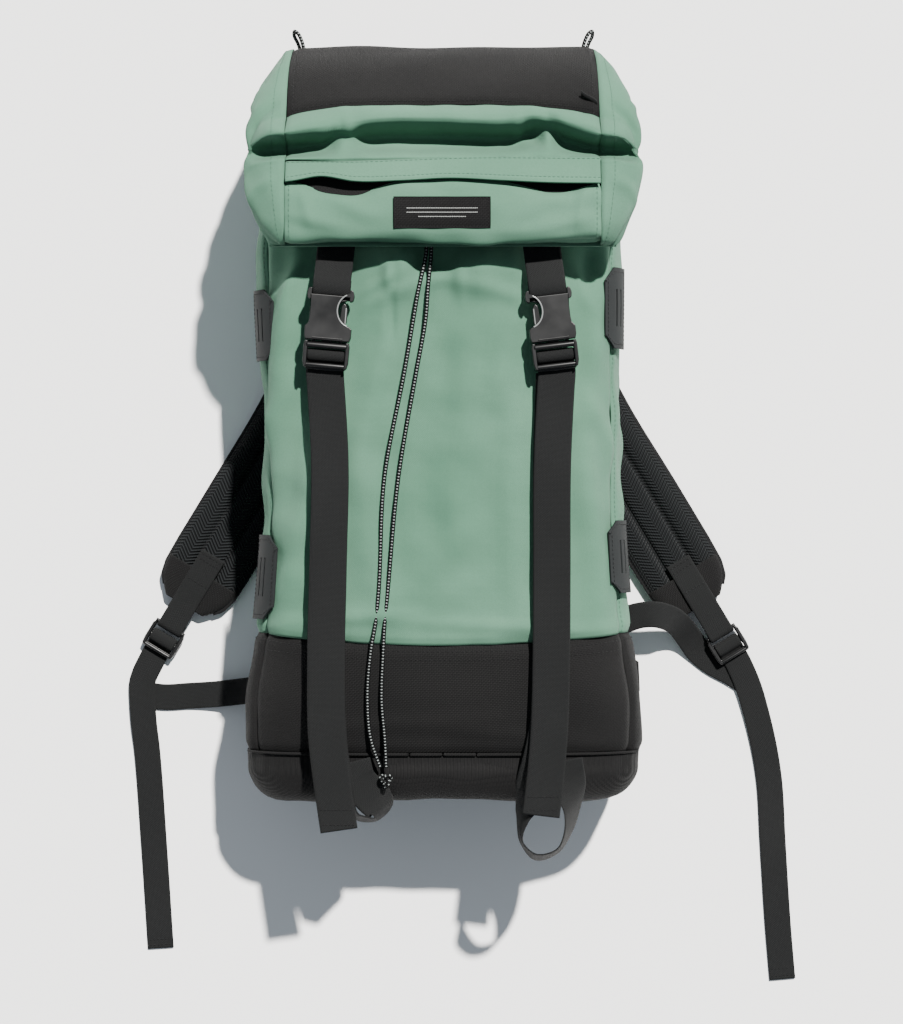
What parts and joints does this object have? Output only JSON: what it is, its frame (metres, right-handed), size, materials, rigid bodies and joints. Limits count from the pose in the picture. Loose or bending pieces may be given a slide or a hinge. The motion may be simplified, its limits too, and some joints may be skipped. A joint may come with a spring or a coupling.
{
  "type": "daypack",
  "caption": "Top-lidded daypack lying on its back, with side-release lid straps, padded shoulder straps, drawcord throat and lash tabs.",
  "frame": {"origin": "on the flat underside of the back pad, on the bag's centreline, where the pack rests on its back", "axes": "+X towards the right-hand strap as seen from the front, +Y to the top of the pack, +Z out of the front panel"},
  "size_m": [0.4865, 0.6846, 0.1714],
  "materials": {
    "cord": "satin",
    "webbing": "satin",
    "buckle_plastic": "satin",
    "metal": "satin",
    "coated_tab": "matte",
    "stiffener": "matte",
    "padding_mesh": "matte",
    "black_cloth": "matte",
    "patch": "matte",
    "green_cloth": "matte"
  },
  "bodies": {
    "pack": {"body_front": "green_cloth", "body_side_left": "green_cloth", "body_side_right": "green_cloth", "base_front": "black_cloth", "base_side_left": "black_cloth", "base_side_right": "black_cloth", "base_bottom": "black_cloth", "back_panel": "black_cloth", "back_pad": "padding_mesh", "frame_sheet": "stiffener", "collar": "green_cloth", "collar_hem": "green_cloth", "cord_eyelet": "metal", "drawcord_strand_left": "cord", "drawcord_strand_right": "cord", "drawcord_knot": "cord", "lash_tab_upper_left": "coated_tab", "lash_tab_upper_right": "coated_tab", "lash_tab_lower_left": "coated_tab", "lash_tab_lower_right": "coated_tab", "lid_hinge_strip": "black_cloth", "front_strap_left": "webbing", "front_strap_right": "webbing", "lower_wing_left": "black_cloth", "lower_wing_right": "black_cloth"},
    "lid": {"lid_yoke": "black_cloth", "lid_upper": "green_cloth", "lid_front": "green_cloth", "lid_flap": "green_cloth", "lid_base": "green_cloth", "lid_gusset_left": "green_cloth", "lid_gusset_right": "green_cloth", "zip_tape": "black_cloth", "lid_patch": "patch", "lid_cord_loop_left": "cord", "lid_cord_loop_right": "cord"},
    "zip": {"zip_slider": "metal"},
    "lid_closure_left": {"lid_strap_left": "webbing", "buckle_body_left": "buckle_plastic"},
    "clip_left": {"clip_frame_left": "buckle_plastic", "front_tail_left": "webbing"},
    "arm_inner_left": {"clip_arm_inner_left": "buckle_plastic"},
    "arm_outer_left": {"clip_arm_outer_left": "buckle_plastic"},
    "shoulder_left": {"shoulder_pad_left": "padding_mesh", "shoulder_tab_left": "webbing", "lower_strap_left": "webbing"},
    "lock_left": {"ladder_lock_left": "buckle_plastic", "strap_tail_left": "webbing"},
    "lid_closure_right": {"lid_strap_right": "webbing", "buckle_body_right": "buckle_plastic"},
    "clip_right": {"clip_frame_right": "buckle_plastic", "front_tail_right": "webbing"},
    "arm_inner_right": {"clip_arm_inner_right": "buckle_plastic"},
    "arm_outer_right": {"clip_arm_outer_right": "buckle_plastic"},
    "shoulder_right": {"shoulder_pad_right": "padding_mesh", "shoulder_tab_right": "webbing", "lower_strap_right": "webbing"},
    "lock_right": {"ladder_lock_right": "buckle_plastic", "strap_tail_right": "webbing"}
  },
  "joints": [
    {"name": "lid_hinge", "type": "hinge", "parent": "pack", "child": "lid", "pos_m": [0, 0.232, 0.0445], "axis": [-1, 0, 0], "range_deg": [0, 105]},
    {"name": "zip_slide", "type": "slide", "parent": "lid", "child": "zip", "axis": [-1, 0, 0], "range_m": [0, 0.18]},
    {"name": "lid_strap_swing_left", "type": "hinge", "parent": "lid", "child": "lid_closure_left", "pos_m": [-0.07287, 0.11697, 0.1432], "axis": [-0.9962, 0.0872, 0], "range_deg": [0, 60]},
    {"name": "clip_slide_left", "type": "slide", "parent": "pack", "child": "clip_left", "axis": [-0.0872, -0.9962, 0], "range_m": [0, 0.072]},
    {"name": "arm_flex_inner_left", "type": "hinge", "parent": "clip_left", "child": "arm_inner_left", "pos_m": [-0.06923, 0.05522, 0.151], "axis": [0, 0, 1], "range_deg": [0, 6], "stiffness_Nm_per_rad": 0.05},
    {"name": "arm_flex_outer_left", "type": "hinge", "parent": "clip_left", "child": "arm_outer_left", "pos_m": [-0.08717, 0.05678, 0.151], "axis": [0, 0, -1], "range_deg": [0, 6], "stiffness_Nm_per_rad": 0.05},
    {"name": "shoulder_swing_left", "type": "hinge", "parent": "pack", "child": "shoulder_left", "pos_m": [-0.045, 0.19, 0.0062], "axis": [0, 0, -1], "range_deg": [0, 8]},
    {"name": "lock_tilt_left", "type": "hinge", "parent": "shoulder_left", "child": "lock_left", "pos_m": [-0.19899, -0.14394, 0.0063], "axis": [-0.8545, 0.5195, 0], "range_deg": [0, 20]},
    {"name": "lid_strap_swing_right", "type": "hinge", "parent": "lid", "child": "lid_closure_right", "pos_m": [0.06755, 0.11677, 0.1432], "axis": [-0.993, -0.1184, 0], "range_deg": [0, 60]},
    {"name": "clip_slide_right", "type": "slide", "parent": "pack", "child": "clip_right", "axis": [0.1184, -0.993, 0], "range_m": [0, 0.072]},
    {"name": "arm_flex_inner_right", "type": "hinge", "parent": "clip_right", "child": "arm_inner_right", "pos_m": [0.08374, 0.05707, 0.151], "axis": [0, 0, 1], "range_deg": [0, 6], "stiffness_Nm_per_rad": 0.05},
    {"name": "arm_flex_outer_right", "type": "hinge", "parent": "clip_right", "child": "arm_outer_right", "pos_m": [0.06586, 0.05493, 0.151], "axis": [0, 0, -1], "range_deg": [0, 6], "stiffness_Nm_per_rad": 0.05},
    {"name": "shoulder_swing_right", "type": "hinge", "parent": "pack", "child": "shoulder_right", "pos_m": [0.045, 0.19, 0.0062], "axis": [0, 0, 1], "range_deg": [0, 8]},
    {"name": "lock_tilt_right", "type": "hinge", "parent": "shoulder_right", "child": "lock_right", "pos_m": [0.20199, -0.14794, 0.0063], "axis": [-0.8545, -0.5195, 0], "range_deg": [0, 20]}
  ],
  "couplings": [
    {"joint": "arm_flex_outer_left", "follows": "arm_flex_inner_left", "ratio": 1},
    {"joint": "arm_flex_outer_right", "follows": "arm_flex_inner_right", "ratio": 1}
  ]
}
